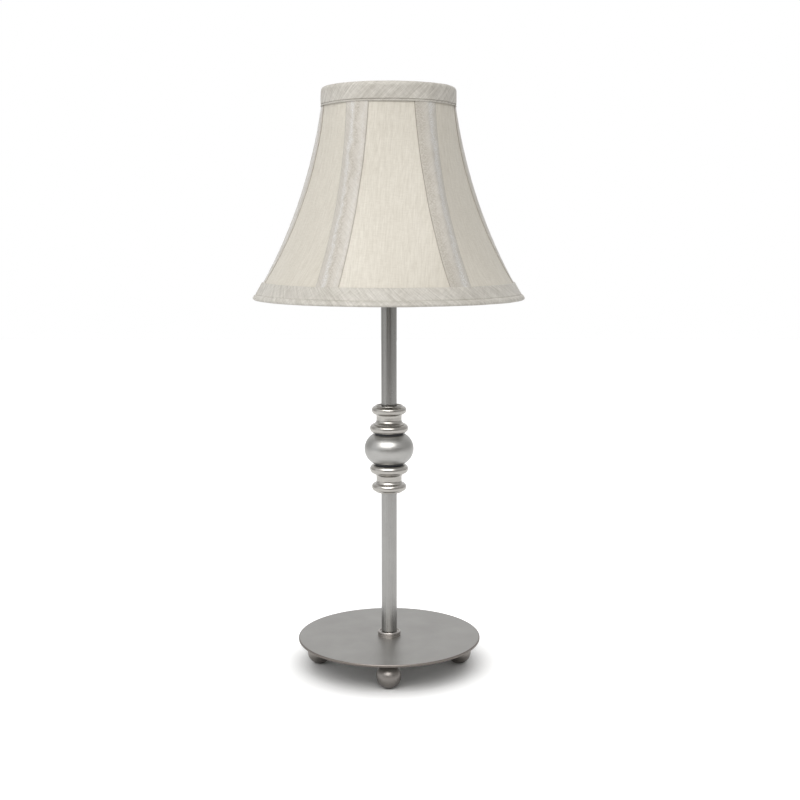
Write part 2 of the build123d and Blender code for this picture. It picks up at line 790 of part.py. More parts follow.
# Bands of cloth folded over the ring wires
top_leg_r = bell_r(shade_top - top_band_h) + band_stand
top_fold_r = top_wire_r - wire_r - free_gap
with BuildPart() as top_band:
    with BuildSketch(side_plane(0)):
        with BuildLine():
            Line((top_leg_r, shade_top - top_band_h), (top_leg_r + band_t, shade_top - top_band_h))
            Line((top_leg_r + band_t, shade_top - top_band_h), (top_leg_r + band_t, top_wire_z))
            Polyline(
                (top_leg_r + band_t, top_wire_z),
                (top_leg_r + band_t - hem_bevel, shade_top),
                (top_fold_r - band_t + hem_bevel, shade_top),
                (top_fold_r - band_t, top_wire_z),
            )
            Line((top_fold_r - band_t, top_wire_z), (top_fold_r - band_t, shade_top - band_fold))
            Line((top_fold_r - band_t, shade_top - band_fold), (top_fold_r, shade_top - band_fold))
            Line((top_fold_r, shade_top - band_fold), (top_fold_r, top_wire_z))
            Polyline(
                (top_fold_r, top_wire_z),
                (top_fold_r + hem_bevel, shade_top - band_t),
                (top_leg_r - hem_bevel, shade_top - band_t),
                (top_leg_r, top_wire_z),
            )
            Line((top_leg_r, top_wire_z), (top_leg_r, shade_top - top_band_h))
        make_face()
    revolve(axis=Axis.Z)
    for arm_angle in arm_angles:
        arm_path = arm_line(upright_plane(arm_angle))
        with BuildSketch(Plane(origin=arm_path @ 0, z_dir=arm_path % 0)):
            RegularPolygon(arm_r + free_gap, wire_sides)
        sweep(path=arm_path, mode=Mode.SUBTRACT)
save(top_band.part, "top_band")

bottom_leg_top = shade_bottom + bottom_band_h
bottom_leg_r = bell_r(bottom_wire_z) + band_stand
bottom_leg_top_r = bell_r(bottom_leg_top) + band_stand
bottom_fold_r = bottom_wire_r - wire_r - free_gap
fold_top_z = shade_bottom + band_fold
fold_top_r = bottom_fold_r - (bell_r(bottom_wire_z) - bell_r(fold_top_z))
with BuildPart() as bottom_band:
    with BuildSketch(side_plane(0)):
        with BuildLine():
            Line((bottom_leg_top_r, bottom_leg_top), (bottom_leg_top_r + band_t, bottom_leg_top))
            Line((bottom_leg_top_r + band_t, bottom_leg_top), (bottom_leg_r + band_t, bottom_wire_z))
            Polyline(
                (bottom_leg_r + band_t, bottom_wire_z),
                (bottom_leg_r + band_t - hem_bevel, shade_bottom),
                (bottom_fold_r - band_t + hem_bevel, shade_bottom),
                (bottom_fold_r - band_t, bottom_wire_z),
            )
            Line((bottom_fold_r - band_t, bottom_wire_z), (fold_top_r - band_t, fold_top_z))
            Line((fold_top_r - band_t, fold_top_z), (fold_top_r, fold_top_z))
            Line((fold_top_r, fold_top_z), (bottom_fold_r, bottom_wire_z))
            Polyline(
                (bottom_fold_r, bottom_wire_z),
                (bottom_fold_r + hem_bevel, shade_bottom + band_t),
                (bottom_leg_r - hem_bevel, shade_bottom + band_t),
                (bottom_leg_r, bottom_wire_z),
            )
            Line((bottom_leg_r, bottom_wire_z), (bottom_leg_top_r, bottom_leg_top))
        make_face()
    revolve(axis=Axis.Z)
save(bottom_band.part, "bottom_band")

# Bias strips that cover the seams, bent over each rib
strip_low = bottom_leg_top + seat_gap
strip_high = shade_top - top_band_h - seat_gap
strip_shares = [0, 0.2, 0.4, 0.6, 0.8, 1]


def beside_rib(height, along, stand):
    """Point (away from the axis, sideways) on a panel, so far along it from the rib."""
    corner = bell_r(height)
    middle_r = corner * panel_middle_share(height)
    arc_centre = (corner**2 - middle_r**2) / (2 * (corner * cos(half_step) - middle_r))
    arc_r = middle_r - arc_centre
    swing = atan2(corner * sin(half_step), corner * cos(half_step) - arc_centre) - along / arc_r
    ahead = arc_centre + (arc_r + stand) * cos(swing)
    aside = (arc_r + stand) * sin(swing)
    return (
        ahead * cos(half_step) + aside * sin(half_step),
        ahead * sin(half_step) - aside * cos(half_step),
    )


for index, rib_angle in enumerate(rib_angles):
    with BuildPart() as strip:
        for share in strip_shares:
            height = strip_low + share * (strip_high - strip_low)
            strip_plane = Plane(
                origin=(0, 0, height), x_dir=(*polar(1, rib_angle), 0), z_dir=(0, 0, 1)
            )
            under = [beside_rib(height, strip_w / 2 * part, band_stand) for part in (1, 0.5)]
            over = [beside_rib(height, strip_w / 2 * part, band_stand + strip_t) for part in (1, 0.5)]
            ridge = bell_r(height) + band_stand / cos(half_step / 2)
            ridge_top = ridge + strip_t / cos(half_step / 2)
            with BuildSketch(strip_plane):
                with BuildLine():
                    ThreePointArc(under[0], under[1], (ridge, 0))
                    ThreePointArc((ridge, 0), (under[1][0], -under[1][1]), (under[0][0], -under[0][1]))
                    Line((under[0][0], -under[0][1]), (over[0][0], -over[0][1]))
                    ThreePointArc(
                        (over[0][0], -over[0][1]), (over[1][0], -over[1][1]), (ridge_top, 0)
                    )
                    ThreePointArc((ridge_top, 0), over[1], over[0])
                    Line(over[0], under[0])
                make_face()
        loft(ruled=True)
    save(strip.part, f"seam_strip_{index + 1}")
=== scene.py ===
from math import atan2, cos, exp, hypot, pi, radians, sin, sqrt

import bpy
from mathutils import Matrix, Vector, noise


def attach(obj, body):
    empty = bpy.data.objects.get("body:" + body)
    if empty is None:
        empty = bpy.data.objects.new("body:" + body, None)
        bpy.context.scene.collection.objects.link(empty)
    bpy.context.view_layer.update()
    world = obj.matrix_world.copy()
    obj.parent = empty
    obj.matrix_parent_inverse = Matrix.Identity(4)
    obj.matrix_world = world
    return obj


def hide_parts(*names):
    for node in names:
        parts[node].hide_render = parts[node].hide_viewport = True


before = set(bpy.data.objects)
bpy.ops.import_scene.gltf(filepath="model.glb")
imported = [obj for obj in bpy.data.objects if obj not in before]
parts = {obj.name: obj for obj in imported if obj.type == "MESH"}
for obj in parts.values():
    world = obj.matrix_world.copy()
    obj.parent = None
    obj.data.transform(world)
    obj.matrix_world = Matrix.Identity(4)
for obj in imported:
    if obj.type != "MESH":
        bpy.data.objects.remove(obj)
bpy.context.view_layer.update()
scene = bpy.context.scene
scene.view_settings.view_transform = "Standard"

# ------------------------------------------------------------------- the camera
# The lamp is seen from the front, a little over a metre away and level with the
# lower part of its shade, so the disc shows its top and the shade its outside.
camera_data = bpy.data.cameras.new("camera")
camera_data.sensor_width = 36
camera_data.lens = 57.06
camera = bpy.data.objects.new("camera", camera_data)
camera.location = (0.0089, -1.019, 0.361)
camera.rotation_euler = (radians(82.18), 0, 0)
scene.collection.objects.link(camera)
scene.camera = camera


# ------------------------------------------------------------- studio and floor
# A white table top in a white room. A large soft box hangs above the front, a
# fainter one stands at the left, and the room behind the camera is dimmer.
lit_height = 0.26


def soft_box(name, place, width, height, power, tint):
    """A soft box that faces the shade and the stem."""
    box_data = bpy.data.lights.new(name, "AREA")
    box_data.shape = "RECTANGLE"
    box_data.size = width
    box_data.size_y = height
    box_data.energy = power
    box_data.color = tint
    box = bpy.data.objects.new(name, box_data)
    box.location = place
    facing = Vector((0, 0, lit_height)) - Vector(place)
    box.rotation_euler = facing.to_track_quat("-Z", "Y").to_euler()
    scene.collection.objects.link(box)


soft_box("soft_box_above", (-0.24, -1.17, 1.4), 2.2, 0.8, 14.6, (1.0, 0.985, 0.96))
soft_box("soft_box_left", (-1.5, -0.72, 0.6), 1.8, 1.8, 5.0, (0.95, 0.975, 1.0))

room = bpy.data.worlds.new("white_room")
room.use_nodes = True
scene.world = room
room_tree = room.node_tree
room_tree.nodes.clear()


def room_node(kind, **settings):
    """A node of the room's shader with its settings."""
    node = room_tree.nodes.new(kind)
    for setting, value in settings.items():
        setattr(node, setting, value)
    return node


room_out = room_node("ShaderNodeOutputWorld")
ray = room_node("ShaderNodeLightPath")
white_wall = room_node("ShaderNodeBackground")
white_wall.inputs["Color"].default_value = (1, 1, 1, 1)
dim_side = room_node("ShaderNodeBackground")
soft_fill = room_node("ShaderNodeBackground")
soft_fill.inputs["Color"].default_value = (1.0, 0.995, 0.985, 1)
soft_fill.inputs["Strength"].default_value = 0.52

# What shines back from the metal: white walls, dimmer and warmer towards the front
direction = room_node("ShaderNodeTexCoord")
split = room_node("ShaderNodeSeparateXYZ")
frontness = room_node("ShaderNodeMapRange", interpolation_type="SMOOTHSTEP")
frontness.inputs["From Min"].default_value = -0.2
frontness.inputs["From Max"].default_value = -0.95
lowness = room_node("ShaderNodeMapRange", interpolation_type="SMOOTHSTEP")
lowness.inputs["From Min"].default_value = 0.62
lowness.inputs["From Max"].default_value = 0.1
both = room_node("ShaderNodeMath", operation="MULTIPLY")
wall_tone = room_node("ShaderNodeMix", data_type="RGBA")
wall_tone.inputs["A"].default_value = (1, 1, 1, 1)
wall_tone.inputs["B"].default_value = (0.205, 0.185, 0.168, 1)
room_tree.links.new(direction.outputs["Generated"], split.inputs[0])
room_tree.links.new(split.outputs["Y"], frontness.inputs["Value"])
room_tree.links.new(split.outputs["Z"], lowness.inputs["Value"])
room_tree.links.new(frontness.outputs[0], both.inputs[0])
room_tree.links.new(lowness.outputs[0], both.inputs[1])
room_tree.links.new(both.outputs[0], wall_tone.inputs["Factor"])
sideness = room_node("ShaderNodeMath", operation="ABSOLUTE")
side_share = room_node("ShaderNodeMapRange", interpolation_type="SMOOTHSTEP")
side_share.inputs["From Min"].default_value = 0.4
side_share.inputs["From Max"].default_value = 0.95
side_tone = room_node("ShaderNodeMix", data_type="RGBA")
side_tone.inputs["A"].default_value = (1, 1, 1, 1)
side_tone.inputs["B"].default_value = (0.68, 0.675, 0.665, 1)
all_walls = room_node("ShaderNodeMix", data_type="RGBA", blend_type="MULTIPLY")
all_walls.inputs["Factor"].default_value = 1
room_tree.links.new(split.outputs["X"], sideness.inputs[0])
room_tree.links.new(sideness.outputs[0], side_share.inputs["Value"])
room_tree.links.new(side_share.outputs[0], side_tone.inputs["Factor"])
room_tree.links.new(side_tone.outputs["Result"], all_walls.inputs["A"])
room_tree.links.new(wall_tone.outputs["Result"], all_walls.inputs["B"])
room_tree.links.new(all_walls.outputs["Result"], dim_side.inputs["Color"])

# The ceiling in front glows around the soft box
towards_box = room_node("ShaderNodeVectorMath", operation="DOT_PRODUCT")
towards_box.inputs[1].default_value = (-0.12, -0.61, 0.785)
glow = room_node("ShaderNodeMapRange", interpolation_type="SMOOTHSTEP")
glow.inputs["From Min"].default_value = 0.85
glow.inputs["From Max"].default_value = 0.985
glow.inputs["To Min"].default_value = 1.0
glow.inputs["To Max"].default_value = 7.0
room_tree.links.new(direction.outputs["Generated"], towards_box.inputs[0])
room_tree.links.new(towards_box.outputs["Value"], glow.inputs["Value"])
room_tree.links.new(glow.outputs[0], dim_side.inputs["Strength"])

shining = room_node("ShaderNodeMath", operation="MAXIMUM")
room_tree.links.new(ray.outputs["Is Glossy Ray"], shining.inputs[0])
room_tree.links.new(ray.outputs["Is Transmission Ray"], shining.inputs[1])
shine_or_fill = room_node("ShaderNodeMixShader")
room_tree.links.new(shining.outputs[0], shine_or_fill.inputs[0])
room_tree.links.new(soft_fill.outputs[0], shine_or_fill.inputs[1])
room_tree.links.new(dim_side.outputs[0], shine_or_fill.inputs[2])
seen_or_not = room_node("ShaderNodeMixShader")
room_tree.links.new(ray.outputs["Is Camera Ray"], seen_or_not.inputs[0])
room_tree.links.new(shine_or_fill.outputs[0], seen_or_not.inputs[1])
room_tree.links.new(white_wall.outputs[0], seen_or_not.inputs[2])
room_tree.links.new(seen_or_not.outputs[0], room_out.inputs["Surface"])

floor_mesh = bpy.data.meshes.new("table_top")
floor_mesh.from_pydata([(-2, -1.5, 0), (2, -1.5, 0), (2, 3, 0), (-2, 3, 0)], [], [(0, 1, 2, 3)])
floor = bpy.data.objects.new("table_top", floor_mesh)
scene.collection.objects.link(floor)
floor_finish = bpy.data.materials.new("white_table")
floor_finish.use_nodes = True
floor_tree = floor_finish.node_tree
floor_paint = floor_tree.nodes["Principled BSDF"]
floor_paint.inputs["Base Color"].default_value = (0.8, 0.8, 0.8, 1)
floor_paint.inputs["Roughness"].default_value = 0.9
floor_paint.inputs["Emission Color"].default_value = (1, 1, 1, 1)
# The table glows white where it lies open; the glow fades with ambient occlusion, a painted shadow
# under the disc on top of its real shadow
floor_ray = floor_tree.nodes.new("ShaderNodeLightPath")
seen = floor_tree.nodes.new("ShaderNodeMath")
seen.operation = "MAXIMUM"
shone = floor_tree.nodes.new("ShaderNodeMath")
shone.operation = "MAXIMUM"
open_sky = floor_tree.nodes.new("ShaderNodeAmbientOcclusion")
open_sky.inputs["Distance"].default_value = 0.11
open_sky.samples = 16
shade_depth = floor_tree.nodes.new("ShaderNodeMapRange")
shade_depth.inputs["From Min"].default_value = 0.3
shade_depth.inputs["From Max"].default_value = 0.97
shade_depth.inputs["To Max"].default_value = 0.68
whiteness = floor_tree.nodes.new("ShaderNodeMath")
whiteness.operation = "MULTIPLY"
floor_tree.links.new(floor_ray.outputs["Is Camera Ray"], seen.inputs[0])
floor_tree.links.new(floor_ray.outputs["Is Glossy Ray"], seen.inputs[1])
floor_tree.links.new(seen.outputs[0], shone.inputs[0])
floor_tree.links.new(floor_ray.outputs["Is Transmission Ray"], shone.inputs[1])
floor_tree.links.new(open_sky.outputs["AO"], shade_depth.inputs["Value"])
floor_tree.links.new(shade_depth.outputs[0], whiteness.inputs[0])
floor_tree.links.new(shone.outputs[0], whiteness.inputs[1])
floor_tree.links.new(whiteness.outputs[0], floor_paint.inputs["Emission Strength"])
floor.data.materials.append(floor_finish)


# ------------------------------------------------------ base plate and ball feet
# A pressed steel disc on four steel balls, each screwed on a stud welded under
# the disc. Both are plated and lacquered a satin pewter grey, slightly cloudy.
def new_finish(name):
    """A named finish: the material, its node tree and its shader."""
    finish = bpy.data.materials.new(name)
    finish.use_nodes = True
    return finish, finish.node_tree, finish.node_tree.nodes["Principled BSDF"]


def grain(tree, stretch, detail=4.0, roughness=0.55):
    """Noise in the lamp's own space, stretched along each axis, per metre."""
    place = tree.nodes.new("ShaderNodeTexCoord")
    stretched = tree.nodes.new("ShaderNodeMapping")
    stretched.inputs["Scale"].default_value = stretch
    cloud = tree.nodes.new("ShaderNodeTexNoise")
    cloud.inputs["Scale"].default_value = 1.0
    cloud.inputs["Detail"].default_value = detail
    cloud.inputs["Roughness"].default_value = roughness
    tree.links.new(place.outputs["Object"], stretched.inputs["Vector"])
    tree.links.new(stretched.outputs["Vector"], cloud.inputs["Vector"])
    return cloud.outputs["Fac"]


def tones(tree, source, dark, pale, low=0.3, high=0.7):
    """Two colours shared out by a noise."""
    ramp = tree.nodes.new("ShaderNodeValToRGB")
    ramp.color_ramp.elements[0].position = low
    ramp.color_ramp.elements[0].color = (*dark, 1)
    ramp.color_ramp.elements[1].position = high
    ramp.color_ramp.elements[1].color = (*pale, 1)
    tree.links.new(source, ramp.inputs["Fac"])
    return ramp.outputs["Color"]


def spread(tree, source, low, high):
    """A noise brought between two values."""
    scale = tree.nodes.new("ShaderNodeMapRange")
    scale.inputs["From Min"].default_value = 0.3
    scale.inputs["From Max"].default_value = 0.7
    scale.inputs["To Min"].default_value = low
    scale.inputs["To Max"].default_value = high
    tree.links.new(source, scale.inputs["Value"])
    return scale.outputs[0]


def raise_grain(tree, shader, source, strength, depth):
    """Relief from a noise, in metres."""
    relief = tree.nodes.new("ShaderNodeBump")
    relief.inputs["Strength"].default_value = strength
    relief.inputs["Distance"].default_value = depth
    tree.links.new(source, relief.inputs["Height"])
    tree.links.new(relief.outputs["Normal"], shader.inputs["Normal"])


def pewter(name, dark, pale, marks, smooth, rough):
    """Satin pewter plating: cloudy tone and fine marks of the polishing wheel."""
    finish, tree, shader = new_finish(name)
    shader.inputs["Metallic"].default_value = 1.0
    cloudy = grain(tree, (38, 38, 38), detail=5)
    fine = grain(tree, marks, detail=3)
    blend = tree.nodes.new("ShaderNodeMix")
    blend.inputs["Factor"].default_value = 0.5
    tree.links.new(cloudy, blend.inputs["A"])
    tree.links.new(fine, blend.inputs["B"])
    tree.links.new(tones(tree, blend.outputs["Result"], dark, pale), shader.inputs["Base Color"])
    tree.links.new(spread(tree, fine, smooth, rough), shader.inputs["Roughness"])
    raise_grain(tree, shader, fine, 0.35, 0.00002)
    return finish


def dress(finish, *names):
    """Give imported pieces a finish."""
    for name in names:
        piece = parts[name]
        piece.data.materials.clear()
        piece.data.materials.append(finish)


disc_pewter = pewter(
    "pewter_disc", (0.28, 0.272, 0.26), (0.365, 0.358, 0.345), (900, 900, 900), 0.34, 0.48
)
# Painted shade: the bevel round the disc's rim is coloured darker than the plating
plate_tree = disc_pewter.node_tree
plate_shader = plate_tree.nodes["Principled BSDF"]
plate_tone = plate_shader.inputs["Base Color"].links[0].from_socket
plate_place = plate_tree.nodes.new("ShaderNodeTexCoord")
level_place = plate_tree.nodes.new("ShaderNodeVectorMath")
level_place.operation = "MULTIPLY"
level_place.inputs[1].default_value = (1, 1, 0)
from_middle = plate_tree.nodes.new("ShaderNodeVectorMath")
from_middle.operation = "LENGTH"
painted_shade_rim_share = plate_tree.nodes.new("ShaderNodeMapRange")
painted_shade_rim_share.inputs["From Min"].default_value = 0.0740
painted_shade_rim_share.inputs["From Max"].default_value = 0.0745
painted_shade_rim_share.inputs["To Max"].default_value = 0.85
painted_shade_rim_tone = plate_tree.nodes.new("ShaderNodeMix")
painted_shade_rim_tone.data_type = "RGBA"
painted_shade_rim_tone.inputs["B"].default_value = (0.13, 0.112, 0.1, 1)
plate_tree.links.new(plate_place.outputs["Object"], level_place.inputs[0])
plate_tree.links.new(level_place.outputs["Vector"], from_middle.inputs[0])
plate_tree.links.new(from_middle.outputs["Value"], painted_shade_rim_share.inputs["Value"])
plate_tree.links.new(painted_shade_rim_share.outputs[0], painted_shade_rim_tone.inputs["Factor"])
plate_tree.links.new(plate_tone, painted_shade_rim_tone.inputs["A"])
plate_tree.links.new(painted_shade_rim_tone.outputs["Result"], plate_shader.inputs["Base Color"])
# The feet get a darker copy of the plating: painted shade under the disc
shaded_foot_pewter = pewter(
    "pewter_feet_painted_shade", (0.175, 0.160, 0.15), (0.25, 0.235, 0.22), (500, 500, 1800), 0.3, 0.42
)
dress(disc_pewter, "base_plate")
dress(shaded_foot_pewter, "foot_front", "foot_right", "foot_back", "foot_left")


# ------------------------------------------------------- fixings under the plate
# A zinc plated washer, toothed lock washer and hexagon nut pull the threaded
# pipe down. A white nylon bushing pressed in the pipe guards the lead's way in.
def zinc(name, marks):
    """Bright zinc plate gone dull, with a faint yellow and blue bloom."""
    finish, tree, shader = new_finish(name)
    shader.inputs["Metallic"].default_value = 1.0
    bloom = grain(tree, (120, 120, 120), detail=5)
    scuffs = grain(tree, marks, detail=3)
    colour = tones(tree, bloom, (0.50, 0.49, 0.44), (0.60, 0.62, 0.64))
    tree.links.new(colour, shader.inputs["Base Color"])
    tree.links.new(spread(tree, scuffs, 0.22, 0.42), shader.inputs["Roughness"])
    raise_grain(tree, shader, scuffs, 0.3, 0.00003)
    return finish


def moulded(name, dark, pale, rough, speck=700):
    """Moulded plastic: a faint mottle and a fine mould texture."""
    finish, tree, shader = new_finish(name)
    shader.inputs["Specular IOR Level"].default_value = 0.45
    mottle = grain(tree, (90, 90, 90), detail=3)
    texture = grain(tree, (speck, speck, speck), detail=2)
    tree.links.new(tones(tree, mottle, dark, pale), shader.inputs["Base Color"])
    tree.links.new(spread(tree, texture, rough - 0.06, rough + 0.06), shader.inputs["Roughness"])
    raise_grain(tree, shader, texture, 0.25, 0.00003)
    return finish


fixing_zinc = zinc("zinc_fixings", (300, 300, 2500))
pipe_zinc = zinc("zinc_pipe", (60, 60, 3200))
bushing_nylon = moulded("nylon_bushing", (0.74, 0.73, 0.69), (0.83, 0.82, 0.79), 0.45)
dress(fixing_zinc, "base_washer", "lock_washer", "base_nut", "foot_studs")
dress(pipe_zinc, "threaded_pipe")
dress(bushing_nylon, "cord_bushing")

# ------------------------------------------------------------- ferrule and tubes
# The stem is two lengths of drawn steel tube. The lower one stands in a turned
# ferrule with a rounded lip. All carry the pewter plating, brushed lengthwise.
tube_pewter = pewter(
    "pewter_tube", (0.26, 0.257, 0.25), (0.335, 0.331, 0.322), (1400, 1400, 14), 0.24, 0.36
)
ferrule_pewter = pewter(
    "pewter_ferrule", (0.31, 0.29, 0.275), (0.40, 0.38, 0.36), (60, 60, 2600), 0.22, 0.34
)
# The upper tube gets a darker copy of the plating: painted shade under the lampshade
shaded_upper_tube_pewter = pewter(
    "pewter_upper_tube_painted_shade", (0.215, 0.212, 0.203), (0.275, 0.271, 0.262), (1400, 1400, 14), 0.24, 0.36
)
dress(tube_pewter, "lower_tube")
dress(shaded_upper_tube_pewter, "upper_tube")
dress(ferrule_pewter, "stem_ferrule")

# ------------------------------------------------- spools, ball and their collars
# Two matching turned spools hold a flattened ball between them. The ball is
# pewter too, with a softer sheen, and thin collars in a near-black finish part the pieces.
spool_pewter = pewter(
    "pewter_spool", (0.33, 0.317, 0.297), (0.415, 0.401, 0.378), (50, 50, 2400), 0.2, 0.3
)
ball_pewter = pewter(
    "pewter_ball", (0.32, 0.316, 0.305), (0.405, 0.401, 0.39), (80, 80, 1600), 0.33, 0.41
)
collar_black, collar_tree, collar_shader = new_finish("near_black_collar")
collar_marks = grain(collar_tree, (200, 200, 1500), detail=4)
collar_tree.links.new(
    tones(collar_tree, collar_marks, (0.030, 0.034, 0.042), (0.060, 0.064, 0.074)),
    collar_shader.inputs["Base Color"],
)
collar_tree.links.new(
    spread(collar_tree, collar_marks, 0.4, 0.6),
    collar_shader.inputs["Roughness"],
)
raise_grain(collar_tree, collar_shader, collar_marks, 0.3, 0.00003)
dress(spool_pewter, "lower_spool", "upper_spool")
dress(ball_pewter, "knop")
dress(collar_black, "lower_collar", "upper_collar")

# -------------------------------------------------------------------- lampholder
# A push-through lampholder of black phenolic on a turned steel seat ring. Its
# inside is a brown insulator with brass terminals, a fibre sleeve and a brass
# screw shell, and its outside carries the ring that clamps the shade.
black_phenolic = moulded("black_phenolic", (0.016, 0.016, 0.018), (0.026, 0.026, 0.029), 0.34, 420)
brown_phenolic = moulded("brown_phenolic", (0.075, 0.045, 0.03), (0.12, 0.072, 0.048), 0.42, 420)
fibre_paper = moulded("fibre_paper", (0.47, 0.39, 0.28), (0.60, 0.52, 0.40), 0.75, 1500)


def brass(name, marks):
    """Rolled brass, a little tarnished in clouds."""
    finish, tree, shader = new_finish(name)
    shader.inputs["Metallic"].default_value = 1.0
    tarnish = grain(tree, (150, 150, 150), detail=5)
    rolling = grain(tree, marks, detail=2)
    colour = tones(tree, tarnish, (0.58, 0.39, 0.15), (0.78, 0.57, 0.26))
    tree.links.new(colour, shader.inputs["Base Color"])
    tree.links.new(spread(tree, rolling, 0.2, 0.36), shader.inputs["Roughness"])
    raise_grain(tree, shader, rolling, 0.25, 0.00002)
    return finish


shell_brass = brass("shell_brass", (70, 70, 2200))
contact_brass = brass("contact_brass", (1800, 60, 1800))
dress(ferrule_pewter, "seat_ring")
dress(black_phenolic, "holder_cap", "holder_body", "push_bar", "clamp_ring")
dress(brown_phenolic, "insulator")
dress(fibre_paper, "insulating_sleeve")
dress(shell_brass, "screw_shell")
dress(contact_brass, "centre_contact", "terminal_screws")

# --------------------------------------------------------------------------- bulb
# A candle bulb of opal white glass in a nickel plated screw cap, with a black
# glass seal between the cap and its centre contact. It isn't lit.
opal, opal_tree, opal_shader = new_finish("opal_glass")
opal_cloud = grain(opal_tree, (60, 60, 40), detail=3)
opal_tree.links.new(
    tones(opal_tree, opal_cloud, (0.86, 0.85, 0.82), (0.93, 0.92, 0.90)),
    opal_shader.inputs["Base Color"],
)
opal_tree.links.new(spread(opal_tree, opal_cloud, 0.1, 0.16), opal_shader.inputs["Roughness"])
opal_shader.inputs["Subsurface Weight"].default_value = 0.25
opal_shader.inputs["Subsurface Radius"].default_value = (0.004, 0.004, 0.004)
opal_shader.inputs["Subsurface Scale"].default_value = 1.0
opal_shader.inputs["Coat Weight"].default_value = 0.4
nickel, nickel_tree, nickel_shader = new_finish("nickel_cap")
nickel_shader.inputs["Metallic"].default_value = 1.0
nickel_marks = grain(nickel_tree, (90, 90, 1800), detail=4)
nickel_tree.links.new(
    tones(nickel_tree, nickel_marks, (0.56, 0.53, 0.48), (0.70, 0.67, 0.62)),
    nickel_shader.inputs["Base Color"],
)
nickel_tree.links.new(
    spread(nickel_tree, nickel_marks, 0.16, 0.3),
    nickel_shader.inputs["Roughness"],
)
seal_glass = moulded("black_seal", (0.010, 0.010, 0.012), (0.020, 0.020, 0.022), 0.18, 300)
dress(opal, "bulb_glass")
dress(nickel, "bulb_cap", "bulb_contact")
dress(seal_glass, "bulb_seal")

# -------------------------------------------------------------------- shade frame
# Steel wire, welded and dipped in white enamel: a ring at the top and bottom,
# six bowed ribs, and three arms that hang the flat fitter ring inside.
enamel, enamel_tree, enamel_shader = new_finish("white_enamel")
enamel_runs = grain(enamel_tree, (260, 260, 140), detail=4)
enamel_tree.links.new(
    tones(enamel_tree, enamel_runs, (0.70, 0.69, 0.65), (0.80, 0.79, 0.76)),
    enamel_shader.inputs["Base Color"],
)
enamel_tree.links.new(
    spread(enamel_tree, enamel_runs, 0.32, 0.48),
    enamel_shader.inputs["Roughness"],
)
raise_grain(enamel_tree, enamel_shader, enamel_runs, 0.35, 0.0001)
dress(enamel, "top_wire", "bottom_wire", "fitter_ring")
dress(enamel, *[f"shade_rib_{number}" for number in range(1, 7)])
dress(enamel, *[f"fitter_arm_{number}" for number in range(1, 4)])

# ------------------------------------------------------------------- cloth panels
# Six panels of slubbed silk-look cloth, laminated to a white backing, are
# stretched over the wire frame. Each is bowed at the rings and flat between.
mm = 0.001
shade_top = 0.4680
shade_height = 0.1650
top_r = 0.0508
middle_r = 0.0695
bottom_r = 0.1076
wire_low = 0.3059
wire_high = 0.4651
panel_count = 6
rib_step = 360 / panel_count
first_rib = -57
half_step = radians(rib_step / 2)
panel_flat = 0.82
flat_onset = 0.75
cloth_thickness = 0.0005
bell_stretch = 1.07
cloth_give = 0.25 * mm
edge_hold = 0.02
fine_line = 0.001

half_height = shade_height / 2
shade_middle = shade_top - half_height
arc_x = (2 * middle_r**2 - top_r**2 - bottom_r**2 - 2 * half_height**2) / (
    2 * (2 * middle_r - top_r - bottom_r)
)
arc_z = (2 * arc_x * (middle_r - top_r) - middle_r**2 + top_r**2 + half_height**2) / (
    2 * half_height
)
arc_r = hypot(middle_r - arc_x, arc_z)


def bell_r(height):
    """Radius of the shade at a rib."""
    return arc_x - sqrt(arc_r**2 - (height - shade_middle - arc_z) ** 2)


def panel_arc(height):
    """A panel's level section: its arc's centre, radius and half angle."""
    share = min(max((height - wire_low) / (wire_high - wire_low), 0), 1)
    flatness = panel_flat * (4 * share * (1 - share)) ** flat_onset
    corner = bell_r(height)
    middle = corner * (1 - flatness * (1 - cos(half_step)))
    centre = (corner**2 - middle**2) / (2 * (corner * cos(half_step) - middle))
    return centre, middle - centre, atan2(corner * sin(half_step), corner * cos(half_step) - centre)


def cloth_mesh(name, rows, places, finishes, thickness, closed=False):
    """A sheet from rows of points, with its cloth coordinates and thickness."""
    across = len(rows[0])
    corners = [point for row in rows for point in row]
    spans = across if closed else across - 1
    faces = [
        (
            r * across + c,
            r * across + (c + 1) % across,
            (r + 1) * across + (c + 1) % across,
            (r + 1) * across + c,
        )
        for r in range(len(rows) - 1)
        for c in range(spans)
    ]
    mesh = bpy.data.meshes.new(name)
    mesh.from_pydata(corners, [], faces)
    layout = mesh.uv_layers.new(name="cloth")
    for face in range(len(faces)):
        r, c = divmod(face, spans)
        for loop, (row, column) in enumerate(((r, c), (r, c + 1), (r + 1, c + 1), (r + 1, c))):
            layout.data[face * 4 + loop].uv = places(row, column)
    mesh.shade_smooth()
    for finish in finishes:
        mesh.materials.append(finish)
    piece = bpy.data.objects.new(name, mesh)
    scene.collection.objects.link(piece)
    backing = piece.modifiers.new("cloth_thickness", "SOLIDIFY")
    backing.thickness = thickness
    backing.offset = -1
    backing.material_offset = len(finishes) - 1
    backing.use_even_offset = True
    return piece


